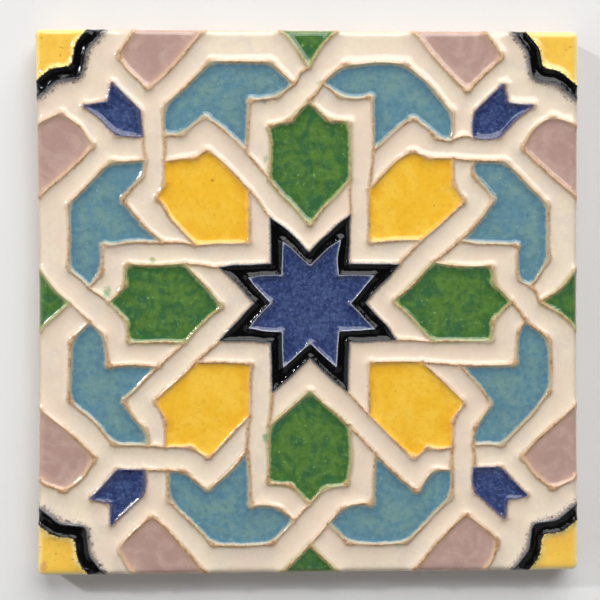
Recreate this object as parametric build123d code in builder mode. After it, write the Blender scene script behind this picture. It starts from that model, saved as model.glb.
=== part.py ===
from build123d import *

import os
from math import cos, radians, sin

# One fired tile with an interlaced eight-pointed star drawn in raised clay ridges.
# The ridges part shallow wells that hold the coloured glazes: white straps weave over and
# under each other between the coloured cells. The tile lies face up. The origin is the
# centre of its back, +X runs right across the pattern and +Y runs up it.

# Driving dimensions, in millimetres
side = 152.0              # face, edge to edge
thickness = 10.0          # back to the crests of the ridges
well_depth = 0.6          # crests down to the glaze between them
crest_width = 0.7
ridge_draft = 20.0        # lean of the ridges' flanks, degrees
corner_radius = 1.6       # in plan
edge_radius = 1.8         # where the face rolls over into the sides
overrun = 3.0             # how far the wells are drawn past the tile's edge

# Stars at the centre and at the corners: tip and notch radii
star_tip, star_notch = 19.9, 11.3              # blue star at the centre
star_band_tip, star_band_notch = 27.8, 15.4    # outer edge of the black band around it
corner_tip, corner_notch = 14.4, 11.7          # yellow star at each corner
corner_band_tip, corner_band_notch = 18.8, 15.0    # outer edge of its black band

# Key grooves across the back
groove_width = 10.0
groove_depth = 1.0
groove_pitch = 22.0
groove_count = 6
groove_flare = 12.0       # lean of the groove's sides, degrees

half = side / 2
glaze_level = thickness - well_depth


def star_points(tip, notch, first_tip, centre=(0, 0)):
    """Eight tips and eight notches by turns, anticlockwise from the first tip's angle."""
    return [
        (
            centre[0] + (notch if k % 2 else tip) * cos(radians(first_tip + 22.5 * k)),
            centre[1] + (notch if k % 2 else tip) * sin(radians(first_tip + 22.5 * k)),
        )
        for k in range(16)
    ]


def quarter_turns(points):
    """The outline and its three copies a quarter turn apart."""
    copies = [points]
    for _ in range(3):
        copies.append([(-y, x) for x, y in copies[-1]])
    return copies


def mirrored(points):
    """The outline seen in a mirror that stands on the pattern's upright axis."""
    return [(-x, y) for x, y in points]


def swapped(points):
    """The outline seen in a mirror that stands on the pattern's diagonal."""
    return [(y, x) for x, y in points]


def beyond_edge(points):
    """The outline seen in a mirror that stands on the tile's upper edge."""
    return [(x, side - y) for x, y in points]


# Outlines of the glazed cells along the middle of their ridges, for the upper right quarter.
# A cell on an axis or on the diagonal is given by one half, and by its mirrored half.
# A cell that the edge of the tile cuts is drawn whole, as it runs on in the next tile.
kite_half = [(0, 24.7), (11.1, 34.9), (11.2, 51.0), (5.3, 51.3), (0, 56.8)]
kite = kite_half + mirrored(kite_half[1:-1])[::-1]

edge_diamond_half = [(-8.3, half), (0, 68.1), (8.3, half)]
edge_diamond = edge_diamond_half + beyond_edge(edge_diamond_half[1:-1])

shield_half = [(16.8, 16.8), (16.8, 31.8), (28.4, 43.9), (33.2, 40.6), (40.5, 40.5)]
shield = shield_half + swapped(shield_half[1:-1])[::-1]

hook = [
    (39.9, 47.0), (35.2, 47.1), (28.9, 53.2), (18.0, 42.4), (17.8, 58.3),
    (8.8, 58.5), (5.3, 62.3), (10.6, 67.6), (27.5, 67.6), (39.9, 55.0),
]

arrow_half = [(46.8, 46.8), (46.8, 53.6), (55.0, 61.6), (55.9, 55.9)]
arrow = arrow_half + swapped(arrow_half[1:-1])[::-1]

edge_lozenge_half = [(29.0, half), (44.1, 58.9), (54.8, 69.0), (49.3, half)]
edge_lozenge = edge_lozenge_half + beyond_edge(edge_lozenge_half[1:-1])[::-1]

star = star_points(star_tip, star_notch, 22.5)
star_band = star_points(star_band_tip, star_band_notch, 22.5)
corner_star = star_points(corner_tip, corner_notch, 0, (half, half))
corner_band = star_points(corner_band_tip, corner_band_notch, 0, (half, half))

cells = [star, star_band]
for outline in (kite, edge_diamond, shield, arrow, corner_star, corner_band):
    cells += quarter_turns(outline)
for outline in (hook, edge_lozenge):
    cells += quarter_turns(outline) + quarter_turns(mirrored(outline))

# Where two straps cross, the ridges of the upper strap run on over the lower one, as lines
# from a corner of one cell to a corner of the next. A strap that has gone over one crossing
# goes under the next, so the crossings repeat by quarter turns and not by mirroring.
crossings = []
for start, end in (
    (shield[4], swapped(hook)[0]),
    (hook[0], arrow[0]),
    (star_band[2], kite[1]),
    (shield[1], hook[3]),
    (star_band[0], shield[7]),
    (swapped(kite)[1], swapped(hook)[3]),
    (mirrored(hook)[6], edge_diamond[1]),
    (kite[4], hook[6]),
):
    crossings += quarter_turns([start, end])


def ridge_ring(outline):
    """The crest of the ridge along a closed outline: round corners outside, sharp inside."""
    with BuildSketch() as ring:
        with BuildLine():
            Polyline(*outline, close=True)
        make_face()
        inner = offset(amount=-crest_width / 2, kind=Kind.INTERSECTION, mode=Mode.PRIVATE)
        offset(amount=crest_width / 2, kind=Kind.ARC, mode=Mode.REPLACE)
        add(inner, mode=Mode.SUBTRACT)
    return ring.sketch


# What the ridges leave between them: the glazed cells and the pieces of strap.
ridge_rings = [ridge_ring(outline) for outline in cells]
with BuildSketch(Plane.XY.offset(thickness)) as wells:
    Rectangle(side + 2 * overrun, side + 2 * overrun)
    add(ridge_rings, mode=Mode.SUBTRACT)
    with BuildLine():
        for start, end in crossings:
            Line(start, end)
    trace(line_width=crest_width, mode=Mode.SUBTRACT)

# The slab up to the level of the glaze.
with BuildPart() as slab:
    with BuildSketch():
        RectangleRounded(side, side, corner_radius)
    extrude(amount=glaze_level)
    fillet(slab.edges().group_by(Axis.Z)[-1], edge_radius)

with BuildPart() as tile:
    # The outer form up to the crests, its top edge rolled over
    with BuildSketch():
        RectangleRounded(side, side, corner_radius)
    extrude(amount=thickness)
    fillet(tile.edges().group_by(Axis.Z)[-1], edge_radius)
    # Wells cut as deep as the rolled edge reaches, which leave the ridges standing
    add(wells.sketch)
    extrude(amount=-(well_depth + edge_radius), taper=ridge_draft, mode=Mode.SUBTRACT)
    # The glazes fill the wells to their level and roll over the edge below the ridges
    add(slab.part)
    # Key grooves from edge to edge of the back
    with BuildSketch(Plane.XZ.offset(-half)):
        with GridLocations(groove_pitch, 0, groove_count, 1):
            Trapezoid(groove_width, groove_depth, 90 - groove_flare, align=(Align.CENTER, Align.MIN))
    extrude(amount=side, mode=Mode.SUBTRACT)

tile.part.label = "tile"

os.makedirs("parts", exist_ok=True)
export_step(tile.part, "parts/tile.step")
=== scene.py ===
import math
from types import SimpleNamespace

import bpy
import numpy as np
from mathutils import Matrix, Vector
from mathutils.geometry import delaunay_2d_cdt


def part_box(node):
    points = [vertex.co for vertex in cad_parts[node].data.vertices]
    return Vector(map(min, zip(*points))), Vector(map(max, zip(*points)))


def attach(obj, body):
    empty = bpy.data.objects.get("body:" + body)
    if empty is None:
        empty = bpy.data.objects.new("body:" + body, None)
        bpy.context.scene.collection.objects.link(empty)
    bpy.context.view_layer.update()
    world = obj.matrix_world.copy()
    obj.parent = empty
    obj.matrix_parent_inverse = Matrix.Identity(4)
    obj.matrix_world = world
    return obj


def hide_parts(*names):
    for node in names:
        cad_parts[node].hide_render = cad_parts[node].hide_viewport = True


# A square relief tile: raised clay lines with pools of coloured glaze between them.
# The pattern is drawn flat in millimetres, meshed along its lines, bent over the rolled
# edge of the tile, and joined to the sides and the keyed back as one closed surface.

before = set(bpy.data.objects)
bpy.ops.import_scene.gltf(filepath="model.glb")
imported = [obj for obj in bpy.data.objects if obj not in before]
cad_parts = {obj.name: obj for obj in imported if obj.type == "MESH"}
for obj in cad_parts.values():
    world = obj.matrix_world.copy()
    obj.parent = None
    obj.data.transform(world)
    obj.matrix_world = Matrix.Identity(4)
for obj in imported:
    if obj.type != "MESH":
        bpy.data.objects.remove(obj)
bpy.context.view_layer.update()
tileLow, tileHigh = (np.array(corner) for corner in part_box("tile"))
mm = 0.001
half = (tileHigh[0] - tileLow[0]) / 2 / mm
crest = tileHigh[2] / mm

# What a user would change about the tile: lengths in millimetres, colours from 0 to 255
design = {
    "drawing": {
        # stars: tip radius, notch radius, angle of the first tip in degrees
        "star": (19.9, 11.3, 22.5),
        "starBand": (27.8, 15.4, 22.5),
        "cornerStar": (14.4, 11.7, 0.0),
        "cornerBand": (18.8, 15.0, 0.0),
        # other cells: corners in the upper right quarter, one half where the other mirrors it
        "kiteHalf": [(0, 24.7), (11.1, 34.9), (11.2, 51.0), (5.3, 51.3), (0, 56.8)],
        "diamondHalf": [(0, 68.1), (8.3, half)],
        "shieldHalf": [(16.8, 16.8), (16.8, 31.8), (28.4, 43.9), (33.2, 40.6), (40.5, 40.5)],
        "hook": [(39.9, 47.0), (35.2, 47.1), (28.9, 53.2), (18.0, 42.4), (17.8, 58.3),
                 (8.8, 58.5), (5.3, 62.3), (10.6, 67.6), (27.5, 67.6), (39.9, 55.0)],
        "arrowHalf": [(46.8, 46.8), (46.8, 53.6), (55.0, 61.6), (55.9, 55.9)],
        "lozengeHalf": [(29.0, half), (44.1, 58.9), (54.8, 69.0), (49.3, half)],
        # how far the corners of each kind of cell are cut back before the curve between
        "cutBack": {"star": 0.4, "kite": 0.9, "shield": 1.0, "hook": 0.9, "arrow": 0.7,
                    "lozenge": 1.1, "corner": 1.5},
    },
    "hand": {
        "drawnIn": 0.9935,         # the whole net as a share of its true size
        "waves": [(0.13, 5.0, 11), (0.05, 1.8, 13)],    # how wavy the lines are: height, length, seed
        "heldWithin": 6.0,         # pulls fade out over this distance from the tile's flat edge
        "bow": (0.8, 0.35),        # the left and the right side draw in between their corners
    },
    # where the hand that drew this tile left the true lines: x, y, shift in x and in y, reach
    "pulls": {
        "face": [
            (-66, 0, 0.8, 0, 16), (68, 0, 0.5, 0, 16), (0, 0, 0.4, -0.4, 16), (0, 64, 0, -0.35, 40),
            (-19, -67.6, 0, -0.9, 9), (19, -67.6, 0, -0.9, 9),
        ],
        "stars": [
            (-10.6, 25.7, 0, -1.5, 4.5), (10.6, 25.7, 0.6, -0.8, 4), (0, 15.4, -0.2, -1.2, 4),
            (-7.6, 18.4, 0, -1, 3.5), (7.6, 18.4, 1, -0.4, 3.5), (-18.4, 7.6, 1, -0.4, 3.5),
            (-18.4, -7.6, 1.1, 0.4, 3.5), (-25.7, 10.6, 0.6, -0.6, 4), (-25.7, -10.6, 0.5, 0, 4),
            (-10.6, -25.7, 0.3, 0.7, 4), (10.6, -25.7, 0, 0.7, 4), (25.7, -10.6, -1.5, 0, 4),
            (25.7, 10.6, -0.5, -0.5, 4),
        ],
        "diamonds": [
            (0, 68.5, 0, -2, 4), (68.5, 0, -3.2, 0, 4.5), (75, 7, 0, 1.2, 4), (-75, 7, 0, 1.3, 4),
        ],
        "kites": [
            (0, 24.5, 0, -2.9, 4.5), (-25, 0, 0.3, -1, 4), (25, 0, -1.1, 0.3, 4),
            (-11.2, 51, -0.6, -1, 3.5), (-11.2, -51.2, -0.8, 0, 4), (11.2, -51.2, -0.8, -0.7, 4),
            (6.5, 30, 0.7, -0.7, 6), (-6.5, 30, -0.7, -0.7, 6), (11.2, 43, 0.5, 0, 7),
            (-11.2, 43, 0.4, 0, 7), (-43, 11.2, 0, -0.5, 8), (-51, 8, -0.8, 0, 4), (43, 11.2, 0, -0.8, 8),
            (54, 7, 1, 0, 5), (54, -8, 0.9, 0, 5), (-11.2, -43, -0.5, 0, 8), (11.2, -43, 0.5, 0, 8),
            (5, -51.5, -1.2, -1, 3),
        ],
        "shields": [
            (-28.6, 44, 0, -1, 4), (28.4, 44.2, 0.6, -1.1, 4), (-32.5, 41, 1.2, 0, 3),
            (-40, 40, 0, -0.8, 4), (-42.1, 28.2, 0, 1, 4), (29, -44, 0.6, -0.5, 4),
            (-43.5, 28.5, 1, 0, 5), (-43.5, -28.5, 0.3, 0.9, 5), (-16.8, -16.8, 0.6, -0.4, 4),
            (29, 16.8, 0, 0.8, 8), (-30, 16.8, 0, -0.5, 6), (28.5, -44, 0.3, 0.1, 5),
            (37, -41, -0.3, -1.1, 5),
        ],
        "hooks": [
            (-5.5, 63, 1.1, -0.6, 3.5), (5.4, 62.8, -0.9, -0.5, 3.5), (-17.8, 58.4, 0.8, -0.9, 4),
            (-47.5, 39.5, 1.4, 0.4, 4), (-43.5, 17.8, 1.4, 0, 4), (-67, 10.5, -0.6, -1, 4),
            (-60.6, 6, -0.4, -1, 3.5), (-58, -17.8, 1.5, 0, 4), (-46.8, -39.5, 0.8, 0, 4),
            (-18, -58.2, 1, 0.7, 4), (-6, -62, 0.9, 0.9, 3.5), (-18, -44.2, 0.5, 1, 4),
            (59.5, 8.5, -0.3, -1.8, 3), (62.4, -5.8, -1.3, 0, 4), (68, -28, 0, 1.8, 4),
            (56, -40, -0.9, -1, 4), (47.4, -39.5, -0.8, -0.5, 4), (29, -53, 0.6, -0.5, 4),
            (18, -58.3, 0, 1, 4), (58.4, 18.5, 0.6, -1.5, 4), (68.2, 10.5, 0, 1.3, 4),
            (40.3, 56, 0, -1.6, 4.5), (28, 68, 0, -0.6, 5), (12, 68, 0, -0.6, 5), (-17.9, 50, 0.9, 0, 6),
            (-28.9, 53.2, 0, -0.9, 4), (-39.9, 51, -0.9, -0.3, 5), (-13, 58.4, 0.4, -1, 6),
            (28.9, 53.2, 0.3, -1.3, 4), (13, 58.4, 0, -1, 5), (8, 64, -0.9, 0, 5), (40, 51, 0.8, 0, 5),
            (38.5, 47, 0, -1.6, 3.5), (-56, 18, 0.4, -1.7, 6), (-44, 18, 0, -0.9, 6), (-53, 29, 0.8, 0, 5),
            (-51, 40, 0, -0.5, 5), (-58.5, -12, 0.8, 0, 4), (-50, -18, 0, 0.5, 6), (-61, -34, 0.6, 0.6, 6),
            (-53.2, -28.9, 0.9, 1.4, 4), (-47, -38, 1, 0, 4), (-17.9, -50, 1, 0, 6),
            (-13, -58.4, 0.3, 1.5, 5), (-28.9, -53.2, 0.3, 0.5, 4), (28.9, -53.2, 0.9, 0, 4),
            (13, -58.4, 0, 1.4, 5), (39.9, -51, 0.5, 0, 5), (53.2, -28.9, -1.8, 0, 5), (68, -20, 0.8, 0, 9),
            (50, 18, 0, -1.5, 7), (53.2, 28.9, -0.8, 0, 4), (47, 38, -0.9, 0, 4), (61, 34, 0.6, -0.6, 6),
            (63, 5, 0, -0.9, 5),
        ],
        "arrows": [
            (62.6, 55.2, 0.9, 0.8, 3.5), (-55, -61.6, -0.7, -0.6, 4), (46.5, 50, -0.8, 0, 4),
            (50, 46.5, 0, -0.8, 4), (62, 55.5, 1.2, -0.3, 4), (-62, 55.5, -1.4, 0, 4),
            (-48, 47, 0.4, -0.5, 4), (-46.8, -50, 1, 0, 4), (46.8, -50, -0.9, 0, 4),
        ],
        "lozenges": [
            (69, 54.8, -0.4, -0.6, 4), (-69, 54.8, 0, -1.5, 5), (-58.9, 44.1, -1.2, -0.3, 5),
            (-44.1, 58.9, -0.8, 0.5, 5), (-54.8, 69, 0.9, -0.3, 4), (-51, 73, 1.3, 0, 5),
            (69, 54.8, 0, -1.9, 5), (58.9, 44.1, 1, -0.6, 5), (44.1, 58.9, 0.6, 0.6, 5),
            (-69, -54.8, 0, 1.8, 5), (-58.9, -44.1, -1, 0.5, 5), (-44.1, -58.9, 0, -0.7, 5),
            (-54.8, -69, 1, 0, 4), (69, -54.8, 0, 1.5, 5), (58.9, -44.1, 1, 0.4, 5),
            (44.1, -58.9, 0, -0.9, 5), (54.5, -68.5, -1.3, 1.2, 4),
        ],
        "corners": [
            (75, 64.5, 0, -1.4, 4), (64.5, 75, -0.9, 0, 4), (-61.2, 61.2, -0.8, 0.4, 5),
            (61, -61, 0.9, -0.4, 5), (61, 61, 0.5, 0.3, 5),
        ],
    },
    "relief": {
        "edgeRadius": 1.8,             # where the face rolls over into the sides
        # each fall beside a line: depth, reach and how sharply it sets in
        "cord": (0.21, 0.42, 1.7),     # the clay line itself, a thin cord that stands out of the glaze
        "pool": (0.50, 1.0, 1.25),     # then the coloured pools, climbing steeply to the line
        "strap": (0.74, 1.9, 1.25),    # and the white straps, hollow from line to line
        "filletSize": 0.28,            # rounds the glaze into the corners between two lines
        "worn": (0.10, 3.1, 21),       # crests worn up and down: depth, length, seed
        "wornReach": 0.5,              # how far beside the line the wear fades out
        "waves": [(0.04, 9.0, 22), (0.012, 2.6, 23)],    # the glaze's own: height, length, seed
        "dents": (0.10, 6.0, 31),      # in the sides: depth, length, seed
    },
    "mesh": {
        "stepAlong": 1.0,              # between points on a line
        "rowsOut": [0.15, 0.32, 0.52, 0.82, 1.22, 1.75, 2.4],    # rows of points beside each line
        "fieldStep": 1.7,              # between points further away
        "ringsApart": 0.9,             # ends of lines nearer than this share their rings of points
        "pointsApart": 0.14,           # of two points nearer than this one goes
        "rimGap": 0.3,                 # points inside the rim keep off it by this
        "rowsIn": [0.45, 0.95, 1.5, 2.1, 2.8, 3.7],    # rows of points inside the rim of the face
        "ringsDown": [0.12, 0.28, 0.46, 0.64, 0.82],   # rings on the sides, as shares of the height
        "glazedRings": 3,              # how many rings from the top carry the glazes
    },
    "back": {
        # six key grooves between flat lands
        "grooveWidth": 10.0, "grooveDepth": 1.0, "groovePitch": 22.0, "grooveCount": 6,
        "grooveFlare": 12.0,           # lean of the groove's sides, degrees
        "edgeEase": 0.5,               # how far the edge of the back is rounded off
        "landColumns": [-70, -66, 66, 70, 0, -22, 22, -44, 44],    # more points between the grooves
        "margin": 4.0, "rowCount": 40,    # rows of those points, and how far they keep off the edge
    },
    # Each glaze: tone in the middle of a pool, towards its edge and in its clouds, the thin rim's
    # tone and width, the size of the clouds, the strength and size of the grain, how many pale
    # specks it has, how wavy it laps against the line if not 3, and its gloss if not 0.5
    "glazes": {
        "white": {"pool": (238, 223, 199), "edge": (235, 217, 194), "clouds": (226, 211, 196),
                  "rim": (203, 174, 139), "rimWidth": 1.1, "cloudSize": 11, "grain": 0.015,
                  "grainSize": 1.2, "specks": 0.0},
        "black": {"pool": (6, 5, 5), "edge": (7, 7, 8), "clouds": (10, 10, 12),
                  "rim": (30, 30, 34), "rimWidth": 0.2, "cloudSize": 5, "grain": 0.05,
                  "grainSize": 0.8, "specks": 0.0, "lapping": 5.0, "gloss": 0.3},
        # the blue's paler middle is partly a painted reflection of the sky on its pools
        "blue": {"pool": (68, 84, 126), "edge": (50, 63, 107), "clouds": (40, 53, 99),
                 "rim": (100, 110, 140), "rimWidth": 0.5, "cloudSize": 3.0, "grain": 0.30,
                 "grainSize": 0.9, "specks": 0.1},
        "green": {"pool": (88, 124, 58), "edge": (62, 105, 50), "clouds": (50, 98, 68),
                  "rim": (160, 166, 108), "rimWidth": 1.0, "cloudSize": 5, "grain": 0.13,
                  "grainSize": 1.8, "specks": 0.6},
        "yellow": {"pool": (244, 189, 52), "edge": (238, 176, 48), "clouds": (249, 203, 76),
                   "rim": (234, 182, 104), "rimWidth": 0.6, "cloudSize": 8, "grain": 0.02,
                   "grainSize": 1.4, "specks": 0.0},
        "turquoise": {"pool": (116, 151, 150), "edge": (86, 125, 145), "clouds": (92, 136, 156),
                      "rim": (176, 172, 148), "rimWidth": 1.1, "cloudSize": 7, "grain": 0.05,
                      "grainSize": 1.6, "specks": 0.3},
        "mauve": {"pool": (178, 146, 138), "edge": (190, 155, 142), "clouds": (198, 168, 156),
                  "rim": (210, 174, 146), "rimWidth": 1.3, "cloudSize": 7, "grain": 0.04,
                  "grainSize": 1.2, "specks": 0.15},
    },
    # Where a line borders a black band it carries glaze instead of bare clay; beside the blue its pale tone
    # is partly a painted reflection on the crest
    "lineByBlackAndGlint": {"white": (150, 150, 156), "black": (34, 34, 40), "blue": (168, 172, 186),
                    "yellow": (246, 220, 124)},
    # What drifts, runs thin or bleeds in one glaze or another
    "tints": {
        "cornerYellow": (252, 214, 118), "cornerEdge": (254, 232, 152), "cornerPits": (176, 132, 44),
        "frayedBlack": (30, 26, 20), "pinkerWhite": (236, 211, 190), "byGreen": (158, 172, 116),
        "greyFeather": (112, 112, 116), "crept": (20, 19, 22), "thrown": (70, 60, 58),
        "blueFringe": (84, 92, 132),
    },
    # Stains on each glaze: place, radius, tone, strength
    "stains": {
        "white": [
            ((-13.0, 56.9), 2.1, (136, 152, 148), 0.9), ((-12.0, -38.0), 1.8, (112, 150, 100), 0.8),
            ((-56.2, 2.8), 1.8, (128, 164, 124), 0.8), ((3.5, 61.0), 1.6, (150, 172, 128), 0.5),
            ((-62.0, 66.5), 1.2, (196, 160, 120), 0.6), ((-43.5, 11.8), 1.1, (150, 166, 100), 0.7),
            ((-11.9, 40.0), 1.3, (150, 170, 120), 0.5), ((25.0, -68.0), 1.6, (150, 190, 160), 0.35),
        ],
        "yellow": [
            ((-27.0, 34.0), 0.5, (176, 120, 40), 0.8), ((-74.2, -73.2), 1.5, (216, 160, 96), 0.8),
            ((24.0, -25.0), 0.35, (190, 130, 40), 0.7), ((35.0, 27.0), 0.4, (188, 128, 40), 0.6),
        ],
        "turquoise": [
            ((-46.0, 24.0), 2.4, (58, 96, 140), 0.5), ((47.0, 22.0), 2.0, (64, 104, 142), 0.4),
        ],
    },
    "clay": {"tan": (208, 174, 134), "brown": (168, 122, 80), "speck": (112, 72, 44),
             "body": (206, 172, 134), "bodyShade": (190, 152, 112)},
}
hand, relief, mesh, keyedBack = (design[part] for part in ("hand", "relief", "mesh", "back"))
glazeNames = list(design["glazes"])

radius = relief["edgeRadius"]
flatHalf = half - radius
unrolledHalf = flatHalf + radius * math.pi / 2    # the face with its rolled edge laid out flat
farAway = 5.0                                     # no distance to a line is followed further
closeTo = 1e-4                                    # places nearer than this are the same


def noiseLattice(x, y, size, seed):
    # value noise: random heights on a square lattice, blended by a smooth cubic between them;
    # the shift keeps the tile away from the seam where the lattice repeats
    count, shift = 256, (101.3, 57.7)
    heights = np.random.default_rng(seed).uniform(-1, 1, (count + 1, count + 1))
    u, v = x / size + shift[0], y / size + shift[1]
    i, j = np.floor(u).astype(int), np.floor(v).astype(int)
    fu, fv = u - i, v - j
    fu, fv = fu * fu * (3 - 2 * fu), fv * fv * (3 - 2 * fv)
    i, j = i % count, j % count
    low = heights[i, j] * (1 - fu) + heights[i + 1, j] * fu
    high = heights[i, j + 1] * (1 - fu) + heights[i + 1, j + 1] * fu
    return low * (1 - fv) + high * fv


def starPoints(tip, notch, firstTip, centre=(0, 0)):
    # eight tips and eight notches by turns, each 22.5 degrees further round
    angle = np.radians(firstTip + 22.5 * np.arange(16))
    reach = np.where(np.arange(16) % 2 == 0, tip, notch)
    return np.stack([centre[0] + reach * np.cos(angle), centre[1] + reach * np.sin(angle)], 1)


def quarterTurns(points):
    # the outline and its copies turned by 90, 180 and 270 degrees
    x, y = np.asarray(points, float).T
    return [np.stack(pair, 1) for pair in ((x, y), (-y, x), (-x, -y), (y, -x))]


def mirrored(points):
    # seen in a mirror on the pattern's upright axis
    return np.asarray(points, float) * (-1, 1)


def swapped(points):
    # seen in a mirror on the pattern's diagonal
    return np.asarray(points, float)[:, ::-1]


def wholeFrom(halfOutline, otherHalf):
    # one half of a symmetric outline and its mirror image, with the points between their ends
    return np.vstack([halfOutline, otherHalf[1:-1][::-1]])


def rounded(outline, cut, held):
    # each corner P cut back to A and B on its two sides, then the curve
    # (1-t)^2 A + 2t(1-t) P + t^2 B; a corner that a line across a strap starts from stays sharp
    outline = np.asarray(outline, float)
    before, after = np.roll(outline, 1, 0) - outline, np.roll(outline, -1, 0) - outline
    lengths = np.stack([np.linalg.norm(before, axis=1), np.linalg.norm(after, axis=1)])
    share = np.minimum(0.4, cut / lengths)
    start, end = outline + before * share[0, :, None], outline + after * share[1, :, None]
    curves = [[(1 - t) ** 2 * a + 2 * t * (1 - t) * p + t ** 2 * b for t in (0, 1 / 3, 2 / 3, 1)]
              for a, p, b in zip(start, outline, end)]
    sharp = [np.abs(held - p).sum(1).min() < 0.1 for p in outline]
    return np.vstack([[p] if stays else curve for p, stays, curve in zip(outline, sharp, curves)])


def drawPattern():
    # every cell as (kind, glaze, closed outline), and the ends of the lines that cross the straps
    given = design["drawing"]
    kite = wholeFrom(given["kiteHalf"], mirrored(given["kiteHalf"]))
    shield = wholeFrom(given["shieldHalf"], swapped(given["shieldHalf"]))
    arrow = wholeFrom(given["arrowHalf"], swapped(given["arrowHalf"]))
    diamondHalf = [*given["diamondHalf"], (0, 2 * half - given["diamondHalf"][0][1])]
    diamond = wholeFrom(diamondHalf, mirrored(diamondHalf))
    lozengeBelow = np.array(given["lozengeHalf"], float)
    lozenge = wholeFrom(lozengeBelow, lozengeBelow * (1, -1) + (0, 2 * half))
    hook = np.array(given["hook"], float)
    band = starPoints(*given["starBand"])
    corner = (half, half)

    # a strap that has gone over one crossing goes under the next, so these repeat by turns alone
    crossings = []
    for ends in ((shield[4], swapped(hook)[0]), (hook[0], arrow[0]), (band[2], kite[1]),
                 (shield[1], hook[3]), (band[0], shield[7]), (swapped(kite)[1], swapped(hook)[3]),
                 (mirrored(hook)[6], diamond[0]), (kite[4], hook[6])):
        crossings += quarterTurns(ends)
    cells = [("star", "black", band), ("star", "blue", starPoints(*given["star"]))]
    for kind, glaze, outline in (("kite", "green", kite), ("kite", "green", diamond),
                                 ("shield", "yellow", shield), ("arrow", "blue", arrow),
                                 ("corner", "black", starPoints(*given["cornerBand"], corner)),
                                 ("corner", "yellow", starPoints(*given["cornerStar"], corner))):
        cells += [(kind, glaze, copy) for copy in quarterTurns(outline)]
    for kind, glaze, outline in (("hook", "turquoise", hook), ("lozenge", "mauve", lozenge)):
        copies = quarterTurns(outline) + quarterTurns(mirrored(outline))
        cells += [(kind, glaze, copy) for copy in copies]
    held = np.vstack(crossings)
    cut = given["cutBack"]
    return [(kind, glaze, rounded(outline, cut[kind], held)) for kind, glaze, outline in cells], crossings


def edgesOf(outline):
    # start and end of each side of a closed outline
    return np.stack([outline, np.roll(outline, -1, 0)], 1)


def insideOf(outline, points):
    # even-odd rule: a ray to the right crosses the outline an odd number of times
    inside = np.zeros(len(points), bool)
    boxed = np.flatnonzero(((points > outline.min(0)) & (points < outline.max(0))).all(1))
    x, y = points[boxed].T
    for (x0, y0), (x1, y1) in edgesOf(outline):
        if y0 != y1:
            inside[boxed] ^= ((y0 > y) != (y1 > y)) & (x < (x1 - x0) * (y - y0) / (y1 - y0) + x0)
    return inside


def gapsNear(lines, points, squareSize=16.0):
    # square by square: the places in the list of the points there, and the distance from each of
    # them to each line whose box is near, as |p - a - t (b - a)| with t held between 0 and 1
    low, high = lines.min(1), lines.max(1)
    square = np.round(points / squareSize).astype(int)
    for corner in np.unique(square, axis=0):
        held = np.flatnonzero((square == corner).all(1))
        block = points[held]
        close = ((low < block.max(0) + farAway) & (high > block.min(0) - farAway)).all(1)
        start, along = lines[close, 0], lines[close, 1] - lines[close, 0]
        away = block[:, None] - start
        t = np.clip((away * along).sum(2) / (along ** 2).sum(1), 0, 1)
        if close.any():
            yield held, np.sqrt(((away - t[..., None] * along) ** 2).sum(2))


def distanceTo(lines, points):
    # the shortest distance from each point to any of the lines
    nearest = np.full(len(points), farAway)
    for held, gaps in gapsNear(lines, points):
        nearest[held] = np.minimum(farAway, gaps.min(1))
    return nearest


def softDistanceTo(lines, points, softness):
    # the shortest distance with its corners rounded: -softness * log(sum of exp(-distance / softness))
    nearest = np.full(len(points), farAway)
    for held, gaps in gapsNear(lines, points):
        total = np.exp(-gaps / softness).sum(1) + 1e-12
        nearest[held] = np.clip(-softness * np.log(total), 0, farAway)
    return nearest


def clippedTo(lines, reach):
    # the part of each line inside the square of half-size reach, by trimming its parameter range
    start, along = lines[:, 0], lines[:, 1] - lines[:, 0]
    low, high = np.zeros(len(lines)), np.ones(len(lines))
    for axis in (0, 1):
        for side in (-1, 1):
            speed = side * along[:, axis]
            room = reach - side * start[:, axis]
            t = np.divide(room, speed, out=np.zeros(len(lines)), where=speed != 0)
            high = np.where(speed > 0, np.minimum(high, t), high)
            low = np.where(speed < 0, np.maximum(low, t), low)
            low = np.where((speed == 0) & (room < 0), 2, low)
    keep = high - low > 1e-6
    ends = np.stack([start + low[:, None] * along, start + high[:, None] * along], 1)
    return ends[keep]


def thinnedOut(points, spacing):
    # the places in the list of one point from each small square of the given size, the earliest
    _, first = np.unique(np.round(points / spacing).astype(int), axis=0, return_index=True)
    return np.sort(first)


print("tile: drawing the pattern")
cells, crossings = drawPattern()
cellLines = np.vstack([edgesOf(outline) for _, _, outline in cells])
ridgeLines = clippedTo(np.vstack([cellLines, np.array(crossings)]), unrolledHalf)
print("tile:", len(cells), "cells and", len(ridgeLines), "lines")


def borderLoop(special, clearance=0.35):
    # the unrolled outline, a square with round corners, as one closed loop of points:
    # even steps, and the special points that a line or a groove needs
    straight = np.linspace(-flatHalf, flatHalf, int(2 * flatHalf / mesh["stepAlong"]) + 1)
    bend = np.radians(np.arange(90, 180, 15)[1:])
    outset = unrolledHalf - flatHalf
    corner = np.stack([outset * np.cos(bend) - flatHalf, outset * np.sin(bend) + flatHalf], 1)
    loop = []
    for c, s in ((1, 0), (0, 1), (-1, 0), (0, -1)):
        local = special @ np.array([[c, -s], [s, c]])      # this side seen as the upper side
        onSide = local[np.abs(local[:, 1] - unrolledHalf) < closeTo, 0]
        free = straight
        if len(onSide):
            free = straight[np.abs(straight[:, None] - onSide).min(1) > clearance]
        x = np.sort(np.concatenate([free, onSide]))[::-1]
        side = np.stack([x, np.full(len(x), unrolledHalf)], 1)
        loop.append(np.vstack([side, corner]) @ np.array([[c, s], [-s, c]]))
    return np.vstack(loop)


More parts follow.
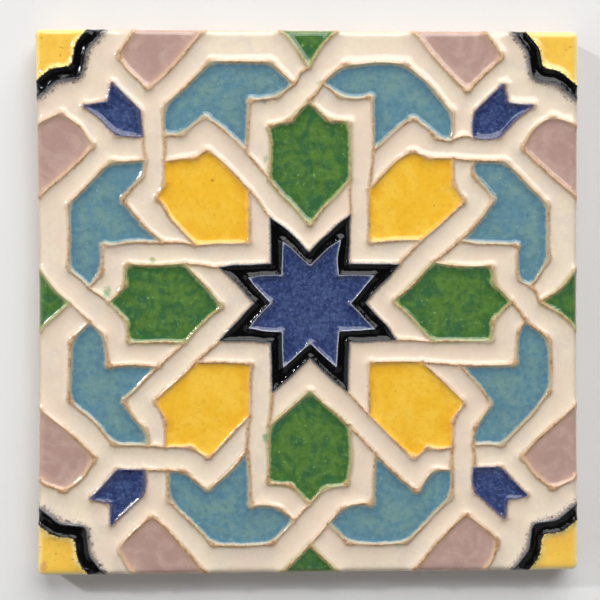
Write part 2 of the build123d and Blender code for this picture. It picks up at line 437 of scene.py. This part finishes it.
def grooveLines():
    # places across the back where a key groove's side begins and ends
    key = keyedBack
    centres = (np.arange(key["grooveCount"]) - (key["grooveCount"] - 1) / 2) * key["groovePitch"]
    mouth = key["grooveWidth"] / 2
    floorHalf = mouth - key["grooveDepth"] * math.tan(math.radians(key["grooveFlare"]))
    return (centres[:, None] + np.array([-mouth, -floorHalf, floorHalf, mouth])).ravel()


def grooveHeight(x):
    # trapezoid section: zero on the lands, full depth between the two sloping sides
    rise = np.tile([0, keyedBack["grooveDepth"], keyedBack["grooveDepth"], 0], keyedBack["grooveCount"])
    return np.interp(x, grooveLines(), rise)


def triangulated(points, edges, rimCount, tolerance):
    # constrained Delaunay triangulation inside the loop of the first points: the points that it
    # keeps, its triangles, and the places of the loop's points among them
    loop = list(range(rimCount))
    found = delaunay_2d_cdt([Vector(p) for p in points], edges, [loop], 1, tolerance)
    places = np.array([tuple(v) for v in found[0]])
    order = {k: i for i, came in enumerate(found[3]) for k in came if k < rimCount}
    return places, np.array(found[2]), np.array([order[k] for k in loop])


def rowsBeside():
    # each ridge line cut into even steps, with rows of points at set distances on both sides of it
    # and rings of points round its ends: start + t * along + out * across
    onLines, lineEdges, rows, rowOut = [], [], [], []
    first = 0
    for start, end in ridgeLines:
        length = np.linalg.norm(end - start)
        count = max(1, round(length / mesh["stepAlong"]))
        t = np.linspace(0, 1, count + 1)
        centre = start + t[:, None] * (end - start)
        across = np.array([start[1] - end[1], end[0] - start[0]]) / length
        onLines.append(centre)
        lineEdges += [(first + i, first + i + 1) for i in range(count)]
        first += count + 1
        for out in mesh["rowsOut"]:
            for side in (-out, out):
                rows.append(centre + side * across)
                rowOut += [out] * len(centre)
    fan = np.radians(np.arange(0, 360, 22.5))
    ends = ridgeLines.reshape(-1, 2)
    ends = ends[thinnedOut(ends, mesh["ringsApart"])]
    for out in mesh["rowsOut"]:
        ring = out * np.stack([np.cos(fan), np.sin(fan)], 1)
        rows.append((ends[:, None] + ring).reshape(-1, 2))
        rowOut += [out] * len(rows[-1])
    rows, rowOut = np.vstack(rows), np.array(rowOut)
    kept = thinnedOut(np.column_stack([rows, rowOut]), 0.12)
    rows, rowOut = rows[kept], rowOut[kept]
    rows = rows[distanceTo(ridgeLines, rows) > rowOut - 0.02]    # none nearer to another line
    return np.vstack(onLines), lineEdges, rows


def evenField():
    # a triangular lattice of points wherever no line is near
    step = mesh["fieldStep"]
    fieldX, fieldY = np.meshgrid(np.arange(-unrolledHalf, unrolledHalf, step),
                                 np.arange(-unrolledHalf, unrolledHalf, step * math.sqrt(3) / 2))
    fieldX[::2] += step / 2
    field = np.stack([fieldX.ravel(), fieldY.ravel()], 1)
    return field[distanceTo(ridgeLines, field) > mesh["rowsOut"][-1] + 0.5 * step]


def meshPlan():
    # the border, the lines, the rows beside them, rows inside the border and an even field;
    # then a triangulation that keeps the lines and the border as edges
    onLines, lineEdges, rows = rowsBeside()
    grooves = grooveLines()
    reach = np.full(len(grooves), unrolledHalf)
    onBorder = onLines[np.abs(onLines).max(1) > unrolledHalf - closeTo]
    special = np.vstack([onBorder, np.stack([grooves, reach], 1), np.stack([grooves, -reach], 1)])
    loop = borderLoop(special[thinnedOut(special, 0.05)])

    rolled = np.vstack([loop * (1 - inset / unrolledHalf) for inset in mesh["rowsIn"]])
    rolled = rolled[distanceTo(ridgeLines, rolled) > mesh["rowsOut"][0]]
    filling = np.vstack([rows, rolled, evenField()])
    cornerReach = np.linalg.norm(np.maximum(np.abs(filling) - flatHalf, 0), axis=1)
    filling = filling[cornerReach < unrolledHalf - flatHalf - mesh["rimGap"]]
    filling = filling[thinnedOut(filling, mesh["pointsApart"])]

    points = np.vstack([loop, onLines, filling])
    edges = [(i, (i + 1) % len(loop)) for i in range(len(loop))]
    edges += [(a + len(loop), b + len(loop)) for a, b in lineEdges]
    return triangulated(points, edges, len(loop), closeTo)


print("tile: meshing the face")
plan, faceTriangles, rim = meshPlan()
print("tile:", len(plan), "points,", len(faceTriangles), "triangles on the face")


def glazeOf(points):
    # which glaze lies at each point: the white field, or the last drawn cell that holds it
    found = np.zeros(len(points), int)
    for _, glaze, outline in cells:
        found[insideOf(outline, points)] = glazeNames.index(glaze)
    return found


def handDrawn(points):
    # the net drawn in about its middle, then each pull moves its neighbourhood by its shift times
    # exp(-(distance / reach)^2), then the waves; all held still at the tile's own edge
    moved = points * hand["drawnIn"]
    for x, y, right, up, reach in sum(design["pulls"].values(), []):
        near = np.exp(-((points - (x, y)) ** 2).sum(1) / reach ** 2)
        moved += near[:, None] * (right, up)
    for height, length, seed in hand["waves"]:
        sideways, upward = (noiseLattice(*points.T, length, seed + axis) for axis in (0, 1))
        moved += height * np.stack([sideways, upward], 1)
    free = np.clip((flatHalf - np.abs(points)) / hand["heldWithin"], 0, 1)
    return points + (moved - points) * free


def fallBeside(near, depth, reach, power):
    # depth * (1 - exp(-(distance / reach) ^ power))
    return depth * (1 - np.exp(-(near / reach) ** power))


def faceHeight(points, glaze, near):
    # below the crest by two falls, a short steep one for the clay cord and a long one for the
    # glaze beside it; the cord is worn, and the whole is lowered by the height of its waves
    fall = fallBeside(near, *relief["cord"])
    fall += np.where(glaze == glazeNames.index("white"), fallBeside(near, *relief["strap"]),
                     fallBeside(near, *relief["pool"]))
    depth, length, seed = relief["worn"]
    worn = depth * (0.5 + 0.5 * noiseLattice(*points.T, length, seed)) * np.exp(-near / relief["wornReach"])
    waves = sum(height * (noiseLattice(*points.T, length, seed) - 1)
                for height, length, seed in relief["waves"])
    return waves - fall - worn


def rolledOver(points):
    # the flat plan bent down over a quarter circle: sine of the angle out, one minus cosine down
    beyond = np.maximum(np.abs(points) - flatHalf, 0)
    out = np.linalg.norm(beyond, axis=1)
    angle = np.minimum(out / radius, math.pi / 2)
    direction = np.divide(beyond, out[:, None], out=np.zeros_like(beyond), where=out[:, None] > 0)
    reach = np.minimum(np.abs(points), flatHalf) + radius * np.sin(angle)[:, None] * direction
    return np.sign(points) * reach, -radius * (1 - np.cos(angle)), angle / (math.pi / 2)


def bowedEdges(points):
    # the left and the right side draw in by a parabola along them, times the sixth power of the
    # way out to them, so that the middle of the face stays
    x, y = points.T
    left, right = (bow * np.clip(side * x / half, 0, 1) ** 6 for bow, side in zip(hand["bow"], (-1, 1)))
    return np.stack([x + (1 - (y / half) ** 2) * (left - right), y], 1)


nearRidge = softDistanceTo(ridgeLines, plan, relief["filletSize"])
flat, drop, rollAt = rolledOver(handDrawn(plan))
faceZ = crest + drop + faceHeight(plan, glazeOf(plan), nearRidge)
face = np.column_stack([bowedEdges(flat), faceZ])


def nearCells(wanted):
    # distance in the plan to the outlines of the cells that the test picks
    picked = [edgesOf(outline) for kind, glaze, outline in cells if wanted(kind, glaze)]
    return distanceTo(np.vstack(picked), plan)


def tileSides():
    # rings of points from the rim of the face, a straight line down to the edge of the back, set in
    # by dents that swell and fade as the sine of the way down, then the eased edge of the back
    top = face[rim]
    foot, _, _ = rolledOver(plan[rim])
    groove = grooveHeight(plan[rim, 0]) * (np.abs(plan[rim, 1]) > flatHalf)
    beyond = np.maximum(np.abs(plan[rim]) - flatHalf, 0)
    outward = np.sign(plan[rim]) * beyond / np.linalg.norm(beyond, axis=1)[:, None]
    ease = keyedBack["edgeEase"]
    depth, length, seed = relief["dents"]
    rings = []
    for share in mesh["ringsDown"]:
        level = top[:, 2] * (1 - share) + (groove + ease) * share
        xy = top[:, :2] * (1 - share) + foot * share
        dent = depth * (1 + noiseLattice(plan[rim].sum(1), level * 3, length, seed))
        rings.append(np.column_stack([xy - outward * dent[:, None] * math.sin(math.pi * share), level]))
    for inward, up in ((0, 1), (0.3, 0.3), (1, 0)):
        rings.append(np.column_stack([foot - outward * inward * ease, groove + up * ease]))
    return rings


def tileBack(loop):
    # the back inside its eased edge: lands and grooves, with an edge along every change of slope
    lines = grooveLines()
    inner = np.abs(loop[:, :2]).max() - keyedBack["margin"]
    columns = np.concatenate([lines, keyedBack["landColumns"]])
    gridX, gridY = np.meshgrid(columns, np.linspace(-inner, inner, keyedBack["rowCount"]))
    points = np.vstack([loop[:, :2], np.stack([gridX.ravel(), gridY.ravel()], 1)])
    edges = [(i, (i + 1) % len(loop)) for i in range(len(loop))]
    for x in lines:
        column = np.flatnonzero(np.abs(points[:, 0] - x) < 1e-3)
        column = column[np.argsort(points[column, 1])]
        edges += list(zip(column[:-1].tolist(), column[1:].tolist()))
    xy, triangles, backRim = triangulated(points, edges, len(loop), 1e-5)
    return np.column_stack([xy, grooveHeight(xy[:, 0])]), triangles, backRim


print("tile: sides and back")
rings = tileSides()
back, backTriangles, backRim = tileBack(rings[-1])
ringCount, sideCount = len(rings), len(rim)
backStart = len(face) + (ringCount - 1) * sideCount
vertices = np.vstack([face, *rings[:-1], back])

ringIndex = [rim] + [len(face) + k * sideCount + np.arange(sideCount) for k in range(ringCount - 1)]
ringIndex.append(backStart + backRim)
quads = np.vstack([np.stack([upper, lower, np.roll(lower, -1), np.roll(upper, -1)], 1)
                   for upper, lower in zip(ringIndex[:-1], ringIndex[1:])])
polygons = faceTriangles.tolist() + quads.tolist() + (backTriangles + backStart)[:, ::-1].tolist()

sideGlaze = glazeOf((plan[rim] + plan[np.roll(rim, -1)]) / 2)
clayCount = sideCount * (ringCount - mesh["glazedRings"]) + len(backTriangles)
materialIndex = np.concatenate([glazeOf(plan[faceTriangles].mean(1)),
                                np.tile(sideGlaze, mesh["glazedRings"]),
                                np.full(clayCount, len(glazeNames))])

tileMesh = bpy.data.meshes.new("star_tile")
tileMesh.from_pydata((vertices * mm).tolist(), [], polygons)
tileMesh.polygons.foreach_set("material_index", materialIndex.astype(np.int32))
smooth = np.arange(len(polygons)) < len(polygons) - len(backTriangles)    # the back has flat facets
tileMesh.polygons.foreach_set("use_smooth", smooth)


def addObject(name, data):
    # an object that shows the given mesh, lamp or camera
    made = bpy.data.objects.new(name, data)
    bpy.context.scene.collection.objects.link(made)
    return made


def addAttribute(name, onFace, onBack):
    # a value for every vertex: the sides carry down what the rim of the face has
    values = np.full(len(vertices), float(onBack))
    values[:len(face)] = onFace
    for ring in ringIndex[1:-1]:
        values[ring] = onFace[rim]
    layer = tileMesh.attributes.new(name, "FLOAT", "POINT")
    layer.data.foreach_set("value", values)


def layOut():
    # where each corner of each polygon lies on the flat colour map: the face fills most of the
    # square by its plan, the four sides lie in strips above it, and the halves of the back beside it
    faceShare, stripLow, stripStep, stripHeight = 0.80, 0.82, 0.0435, 0.035
    backLeft, backLows, backScale = 0.82, (0.02, 0.42), (0.00215, 0.0023)
    onFace = 0.005 + faceShare * (plan[faceTriangles] + unrolledHalf) / (2 * unrolledHalf)
    steps = np.linalg.norm(np.roll(plan[rim], -1, 0) - plan[rim], axis=1)
    start = np.cumsum(steps) - steps
    sideLength = steps.sum() / 4
    strip = np.floor((start + steps / 2) / sideLength)
    left = 0.01 + 0.97 * (start / sideLength - strip)
    right = left + 0.97 * steps / sideLength
    rungs = stripLow + stripStep * strip + stripHeight * np.linspace(1, 0, ringCount + 1)[:, None]
    onSides = []
    for upper, lower in zip(rungs[:-1], rungs[1:]):
        onSides.append(np.stack([left, upper, left, lower, right, lower, right, upper], 1).reshape(-1, 2))
    corners = back[backTriangles[:, ::-1], :2]
    later = corners[..., 0].mean(1)[:, None] > 0
    across = backLeft + backScale[0] * (corners[..., 0] + np.where(later, 0, half))
    up = np.where(later, backLows[1], backLows[0]) + backScale[1] * (corners[..., 1] + half)
    return np.vstack([onFace.reshape(-1, 2), *onSides, np.stack([across, up], 2).reshape(-1, 2)])


colourMap = tileMesh.uv_layers.new(name="OFBake")
colourMap.uv.foreach_set("vector", layOut().astype(np.float32).ravel())
addAttribute("nearRidge", nearRidge, farAway)
addAttribute("nearInk", nearCells(lambda kind, glaze: kind in ("star", "corner")), farAway)
addAttribute("nearGreen", nearCells(lambda kind, glaze: glaze == "green"), farAway)
addAttribute("nearArrow", nearCells(lambda kind, glaze: kind == "arrow"), farAway)
addAttribute("nearCrossing", distanceTo(clippedTo(np.array(crossings), unrolledHalf), plan), farAway)
addAttribute("roll", rollAt, 1.0)
tileMesh.update()
tile = addObject("star_tile", tileMesh)
print("tile:", len(polygons), "faces")


def srgb(red, green, blue):
    # a screen colour from 0 to 255 as scene-linear values
    c = np.array([red, green, blue]) / 255
    return (*np.where(c <= 0.04045, c / 12.92, ((c + 0.055) / 1.055) ** 2.4).tolist(), 1.0)


def feed(socket, value):
    # another node's output is linked, a number or a colour is set
    if isinstance(value, bpy.types.NodeSocket):
        socket.id_data.links.new(value, socket)
    else:
        socket.default_value = value


def addNode(tree, kind, **settings):
    # a node with its settings; inputs are given as in_0, in_Scale and so on, by place or name
    made = tree.nodes.new(kind)
    for name, value in settings.items():
        if not name.startswith("in_"):
            setattr(made, name, value)
    for name, value in settings.items():
        if name.startswith("in_"):
            key = name[3:].replace("_", " ")
            feed(made.inputs[int(key) if key.isdigit() else key], value)
    return made


def treeOf(*values):
    # the node tree that the first socket among the values belongs to
    return next(value.id_data for value in values if isinstance(value, bpy.types.NodeSocket))


def calculate(operation, a, b=0.0, c=0.0):
    # one step of arithmetic on outputs of nodes and numbers
    tree = treeOf(a, b, c)
    return addNode(tree, "ShaderNodeMath", operation=operation, in_0=a, in_1=b, in_2=c).outputs[0]


def scaled(value, by, plus):
    # value * by + plus
    return calculate("MULTIPLY_ADD", value, by, plus)


def minus(a, b):
    # a less b
    return calculate("SUBTRACT", a, b)


def larger(a, b):
    # the greater of the two at each point
    return calculate("MAXIMUM", a, b)


def product(value, *others):
    # all the values multiplied together
    for other in others:
        value = calculate("MULTIPLY", value, other)
    return value


def fade(value, low, high):
    # 0 below low, 1 above high, smooth between; the other way round when low is above high
    made = addNode(treeOf(value), "ShaderNodeMapRange", interpolation_type="SMOOTHSTEP", in_Value=value)
    for name, number in (("From Min", min(low, high)), ("From Max", max(low, high)),
                         ("To Min", float(low > high)), ("To Max", float(low < high))):
        made.inputs[name].default_value = number
    return made.outputs["Result"]


def shareLeft(distance, reach):
    # 1 at the line, 0 where the distance comes up to the reach
    return minus(1.0, calculate("DIVIDE", distance, reach))


def blend(share, a, b):
    # a where the share is 0, b where it is 1
    made = addNode(treeOf(share, a, b), "ShaderNodeMix", data_type="RGBA", clamp_factor=True)
    for place, value in ((0, share), (6, a), (7, b)):
        feed(made.inputs[place], value)
    return made.outputs[2]


def tinted(colour, tone, *shares):
    # the colour drawn towards the tone by the product of the shares
    return blend(product(*shares), colour, srgb(*tone))


def noise(place, size, detail=2.0, shape=0.5):
    # noise with features of the given size in millimetres
    return addNode(treeOf(place), "ShaderNodeTexNoise", in_Vector=place, in_Scale=1 / (size * mm),
                   in_Detail=detail, in_Roughness=shape).outputs["Fac"]


def patches(place, size, between, detail=2.0, shape=0.5):
    # patches of the given size, where the noise rises through the two given levels
    return fade(noise(place, size, detail, shape), *between)


def attribute(tree, name):
    # a value that the mesh carries
    return addNode(tree, "ShaderNodeAttribute", attribute_name=name).outputs["Fac"]


def vectorMath(operation, **settings):
    # one step of arithmetic on places
    tree = treeOf(*settings.values())
    return addNode(tree, "ShaderNodeVectorMath", operation=operation, **settings).outputs


def lineClay(place):
    # clay that shows along the lines: tan to scorched brown, with dark grog
    tones = design["clay"]
    scorched = patches(place, 1.4, (0.38, 0.62), detail=4)
    colour = blend(scorched, srgb(*tones["tan"]), srgb(*tones["brown"]))
    return tinted(colour, tones["speck"], patches(place, 0.6, (0.63, 0.70)))


def bodyClay(place):
    # the fired body on the sides and the back: slow soft shades, a fine grain and sparse grog
    tones = design["clay"]
    shade = patches(place, 9, (0.36, 0.66), detail=4, shape=0.6)
    colour = blend(shade, srgb(*tones["body"]), srgb(*tones["bodyShade"]))
    colour = tinted(colour, tones["brown"], patches(place, 0.5, (0.50, 0.75), detail=3), 0.35)
    return tinted(colour, tones["speck"], patches(place, 0.8, (0.70, 0.75), detail=1), 0.8)


def readPlace(tree, look):
    # what the glaze goes by at each point: its place, its distances to lines in millimetres, its
    # height in metres, and shares that are 1 on the face, in a corner and beside an arrow
    place = addNode(tree, "ShaderNodeTexCoord").outputs["Object"]
    values = ("nearRidge", "nearInk", "nearArrow", "roll")
    at = SimpleNamespace(**{name: attribute(tree, name) for name in values})
    at.place = place
    at.height = addNode(tree, "ShaderNodeSeparateXYZ", in_0=place).outputs[2]
    at.onFace = fade(at.height, 7.2 * mm, 8.2 * mm)
    at.inCorner = fade(vectorMath("LENGTH", in_0=place)["Value"], 76 * mm, 84 * mm)
    at.byArrow = fade(at.nearArrow, 1.2, 0.6)
    at.grain = noise(place, look["grainSize"], 4, 0.65)
    # the place drawn out by a slow swirl, for the clouds
    swirl = addNode(tree, "ShaderNodeTexNoise", in_Vector=place, in_Scale=1 / (14 * mm), in_Detail=1.0)
    at.drawnOut = vectorMath("MULTIPLY_ADD", in_0=swirl.outputs["Color"],
                             in_1=(12 * mm, 12 * mm, 0), in_2=place)[0]
    return at


def poolColour(at, look):
    # the edge's tone to the middle's as the line gets further away, unevenly by the clouds (for the blue,
    # its paler middle is partly a painted reflection); then paler or darker clouds, a soft grain both ways
    # and pale specks
    inward = scaled(noise(at.drawnOut, look["cloudSize"], 4, 0.55), 4.0, minus(at.nearRidge, 2.0))
    colour = blend(fade(inward, 0.2, 4.6), srgb(*look["edge"]), srgb(*look["pool"]))
    clouds = patches(at.drawnOut, 0.7 * look["cloudSize"], (0.40, 0.66), detail=5, shape=0.6)
    colour = tinted(colour, look["clouds"], clouds, 0.85)
    lighter = [min(255, c * (1 + 0.8 * look["grain"]) + 40 * look["grain"]) for c in look["pool"]]
    darker = [c * (1 - look["grain"]) for c in look["edge"]]
    colour = tinted(colour, lighter, fade(at.grain, 0.48, 0.75), 0.7)
    colour = tinted(colour, darker, fade(at.grain, 0.52, 0.25), 0.7)
    if look["specks"]:
        pale = [min(255, 60 + c) for c in look["pool"]]
        specks = patches(at.place, 0.9, (0.72, 0.80), detail=1)
        colour = tinted(colour, pale, specks, look["specks"])
    return colour


def thinRim(at, look, name, colour):
    # thin glaze towards the line and over the rolled edge lets the clay through, in an uneven rim
    width = look["rimWidth"]
    reach = scaled(noise(at.place, 1.0, 3), 1.3 * width, 0.35 * width)
    byLine = fade(shareLeft(at.nearRidge, reach), 0.0, 0.75)
    thin = larger(byLine, product(fade(at.roll, 0.12, 0.7), 0.6))
    if name == "blue":
        thin = product(thin, minus(1.0, at.byArrow))
    return tinted(colour, look["rim"], thin)


def paleCorners(at, colour):
    # in the corners the yellow runs thin and pale towards its edges, over small dark pits
    tints = design["tints"]
    colour = tinted(colour, tints["cornerYellow"], at.inCorner, 0.3)
    reach = scaled(noise(at.place, 2.5), 2.6, 0.3)
    byLine = fade(calculate("DIVIDE", at.nearRidge, reach), 1.0, 0.2)
    byEdge = product(fade(at.roll, 0.02, 0.4), at.onFace)
    colour = tinted(colour, tints["cornerEdge"], larger(byLine, byEdge), at.inCorner, 0.75)
    pits = patches(at.place, 0.9, (0.69, 0.75), detail=1)
    return tinted(colour, tints["cornerPits"], pits, at.inCorner, 0.6)


def driftingWhite(at, colour):
    # slow drifts of a pinker white, and a faint stain of green beside the green cells
    tints = design["tints"]
    pinker = patches(at.drawnOut, 17, (0.44, 0.62))
    colour = tinted(colour, tints["pinkerWhite"], pinker, 0.5)
    patchy = scaled(patches(at.place, 6, (0.42, 0.66), detail=3), 0.4, 0.25)
    byGreen = fade(attribute(treeOf(at.place), "nearGreen"), 1.7, 0.0)
    return tinted(colour, tints["byGreen"], byGreen, patchy)


def withStains(at, name, colour):
    # each stain is full to 0.3 of its radius and gone at its radius, which the noise shifts
    flatPlace = vectorMath("MULTIPLY", in_0=at.place, in_1=(1, 1, 0))[0]
    for (x, y), size, tone, strength in design["stains"].get(name, []):
        away = vectorMath("DISTANCE", in_0=flatPlace, in_1=(x * mm, y * mm, 0))["Value"]
        uneven = scaled(noise(at.place, size), 1.6 * size * mm, -0.8 * size * mm)
        spread = fade(calculate("ADD", away, uneven), size * mm, 0.3 * size * mm)
        colour = tinted(colour, tone, spread, strength)
    return colour


def bareLine(at, name):
    # share of bare clay on the crest of the line: in broken stretches, surest where one strap goes
    # under another, and none beside or in the black, where the line is glazed
    slow = noise(at.place, 6)
    width = scaled(noise(at.place, 1.2, 3), 0.8, -0.22)
    width = calculate("ADD", width, scaled(slow, 0.6, -0.22))
    onCrest = fade(minus(width, at.nearRidge), -0.16, 0.14)
    shown = fade(slow, 0.36, 0.60)
    if name == "black":
        return product(onCrest, 0.0)
    if name == "white":
        shown = larger(shown, fade(attribute(treeOf(at.place), "nearCrossing"), 0.9, 0.2))
    glazed = larger(fade(at.nearInk, 0.9, 0.4), product(at.byArrow, 0.75))
    return product(onCrest, shown, 0.82, minus(1.0, glazed))


def creptOver(at, colour, tone, size, by, plus, soft, strength=1.0):
    # black that has crept over its line as far as noise of the given size * by + plus
    reach = scaled(noise(at.place, size, 3), by, plus)
    crept = fade(minus(reach, at.nearInk), *soft)
    return tinted(colour, tone, crept, strength)


def besideBlack(at, name, colour):
    # the glazed line round the black bands, pale beside the blue partly as a painted reflection on its
    # crest, and the black that has spread over it
    tints = design["tints"]
    if name in design["lineByBlackAndGlint"]:
        # beside the blue, the line's pale tone is partly a painted reflection on the crest and partly thin
        # glaze
        width = scaled(noise(at.place, 0.8), 0.6, -0.05)
        glazedLineAndGlint = fade(minus(width, at.nearInk), -0.10, 0.10)
        colour = tinted(colour, design["lineByBlackAndGlint"][name], glazedLineAndGlint)
    if name == "yellow":
        # it frays into the corner's yellow
        colour = creptOver(at, colour, tints["frayedBlack"], 0.7, 2.6, -1.05, (-0.10, 0.30), 0.85)
    if name == "white":
        # it feathers grey into the white, furthest in the corners, and creeps over the line
        feather = scaled(noise(at.place, 0.55, 3, 0.65), 3.0, -0.5)
        feather = product(feather, scaled(at.inCorner, 1.0, 0.8))
        bleed = fade(shareLeft(at.nearInk, feather), 0.0, 1.0)
        colour = tinted(colour, tints["greyFeather"], bleed)
        colour = creptOver(at, colour, tints["crept"], 0.9, 1.2, -0.66, (-0.06, 0.10))
        # specks of black thrown off the corner bands, and blue that bleeds from the arrows
        thrown = patches(at.place, 1.3, (0.60, 0.68), detail=1)
        colour = tinted(colour, tints["thrown"], thrown, fade(at.nearInk, 1.9, 1.0), at.inCorner, 0.7)
        fringe = scaled(noise(at.place, 0.6, 3, 0.65), 2.4, -0.55)
        bleed = fade(shareLeft(at.nearArrow, fringe), 0.0, 0.9)
        colour = tinted(colour, tints["blueFringe"], bleed, 0.8)
    return colour


def newMaterial(name):
    # a material with its node tree and the shader in it
    material = bpy.data.materials.new(name)
    material.use_nodes = True
    tree = material.node_tree
    return material, tree, tree.nodes["Principled BSDF"]


def makeGlaze(name, look):
    # the pool and its rim, what lies on it, the clay of the line and of the sides, and the surface
    material, tree, shader = newMaterial("glaze_" + name)
    at = readPlace(tree, look)
    place, clay = at.place, design["clay"]
    colour = thinRim(at, look, name, poolColour(at, look))
    if name == "yellow":
        colour = paleCorners(at, colour)
    if name == "white":
        colour = driftingWhite(at, colour)
    colour = withStains(at, name, colour)
    crestLine = bareLine(at, name)
    colour = blend(crestLine, colour, lineClay(place))
    colour = besideBlack(at, name, colour)
    if name != "black":
        # burnt specks along the line
        specks = patches(place, 0.75, (0.70, 0.76), detail=1)
        colour = tinted(colour, clay["speck"], specks, fade(at.nearRidge, 0.9, 0.3), 0.8)

    # the rolled edge wears thin, and low on the sides the glaze ends in runs
    worn = product(fade(at.roll, 0.35, 0.9), patches(place, 2.2, (0.5, 0.66), detail=3))
    colour = tinted(colour, clay["tan"], worn, at.onFace, 0.6)
    runs = scaled(noise(place, 7, 3), 4.0 * mm, 3.4 * mm)
    bare = fade(minus(runs, at.height), -0.15 * mm, 0.15 * mm)
    feed(shader.inputs["Base Color"], blend(bare, colour, bodyClay(place)))

    # glassy where it pools, dull where clay shows; gently uneven, and wavy where it laps the line
    dull = larger(crestLine, bare)
    feed(shader.inputs["Roughness"], scaled(dull, 0.5, scaled(at.grain, 0.06, 0.05)))
    feed(shader.inputs["Specular IOR Level"], look.get("gloss", 0.5))
    surface = scaled(noise(place, 2.2), 0.7, product(dull, at.grain))
    lapping = product(noise(place, 0.9), fade(at.nearRidge, 1.5, 0.3))
    surface = scaled(lapping, look.get("lapping", 3.0), surface)
    bump = addNode(tree, "ShaderNodeBump", in_Height=surface, in_Strength=0.4, in_Distance=0.09 * mm)
    feed(shader.inputs["Normal"], bump.outputs[0])
    return material


def makeClay():
    # the bare body, dull and gritty
    material, tree, shader = newMaterial("bare_clay")
    place = addNode(tree, "ShaderNodeTexCoord").outputs["Object"]
    feed(shader.inputs["Base Color"], bodyClay(place))
    feed(shader.inputs["Roughness"], 0.85)
    grit = noise(place, 0.6, 4, 0.6)
    bump = addNode(tree, "ShaderNodeBump", in_Height=grit, in_Strength=0.5, in_Distance=0.2 * mm)
    feed(shader.inputs["Normal"], bump.outputs[0])
    return material


print("tile: glazes")
for name, look in design["glazes"].items():
    tileMesh.materials.append(makeGlaze(name, look))
tileMesh.materials.append(makeClay())
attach(tile, "root")
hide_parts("tile")

# Floor, light and camera, in metres and degrees; each lamp: place, size, power in watts
print("stage")
stage = {
    "floorReach": 3.0, "floorTone": 0.80, "floorRoughness": 0.9, "ambient": 0.04,
    "lamps": {"key": ((0.45, 1.55, 1.05), 2.0, 55.5), "spark": ((-1.50, 0.90, 1.10), 0.13, 15.0),
              "fill": ((0.9, -1.5, 1.4), 2.4, 7.0), "side": ((-1.8, -0.4, 1.2), 2.0, 10.0)},
    "cameraPlace": (-0.01224, 0.00408, 0.31075), "cameraTurn": (-0.65, -1.83, -0.14),
    "sensorWidth": 36, "focalShare": 1.8,    # the focal length as a share of the sensor's width
}

floorMesh = bpy.data.meshes.new("floor")
reach = stage["floorReach"]
floorCorners = [(-reach, -reach, 0), (reach, -reach, 0), (reach, reach, 0), (-reach, reach, 0)]
floorMesh.from_pydata(floorCorners, [], [(0, 1, 2, 3)])
floor = addObject("floor", floorMesh)
floorPaint, _, floorShader = newMaterial("floor_paint")
floorShader.inputs["Base Color"].default_value = (*[stage["floorTone"]] * 3, 1)
floorShader.inputs["Roughness"].default_value = stage["floorRoughness"]
floorMesh.materials.append(floorPaint)


def addAreaLamp(name, place, size, power):
    # a square lamp that faces the tile
    lamp = bpy.data.lights.new(name, "AREA")
    lamp.size, lamp.energy = size, power
    holder = addObject(name, lamp)
    holder.location = place
    holder.rotation_euler = (-Vector(place)).to_track_quat("-Z", "Y").to_euler()


for lampName, settings in stage["lamps"].items():
    addAreaLamp(lampName, *settings)
world = bpy.data.worlds.new("studio")
world.use_nodes = True
world.node_tree.nodes["Background"].inputs["Color"].default_value = (1, 1, 1, 1)
world.node_tree.nodes["Background"].inputs["Strength"].default_value = stage["ambient"]
bpy.context.scene.world = world

lens = bpy.data.cameras.new("camera")
lens.sensor_width = stage["sensorWidth"]
lens.lens = stage["sensorWidth"] * stage["focalShare"]
lens.clip_start = 0.01
viewer = addObject("camera", lens)
viewer.location = stage["cameraPlace"]
viewer.rotation_euler = [math.radians(a) for a in stage["cameraTurn"]]
bpy.context.scene.camera = viewer
bpy.context.scene.view_settings.view_transform = "Standard"
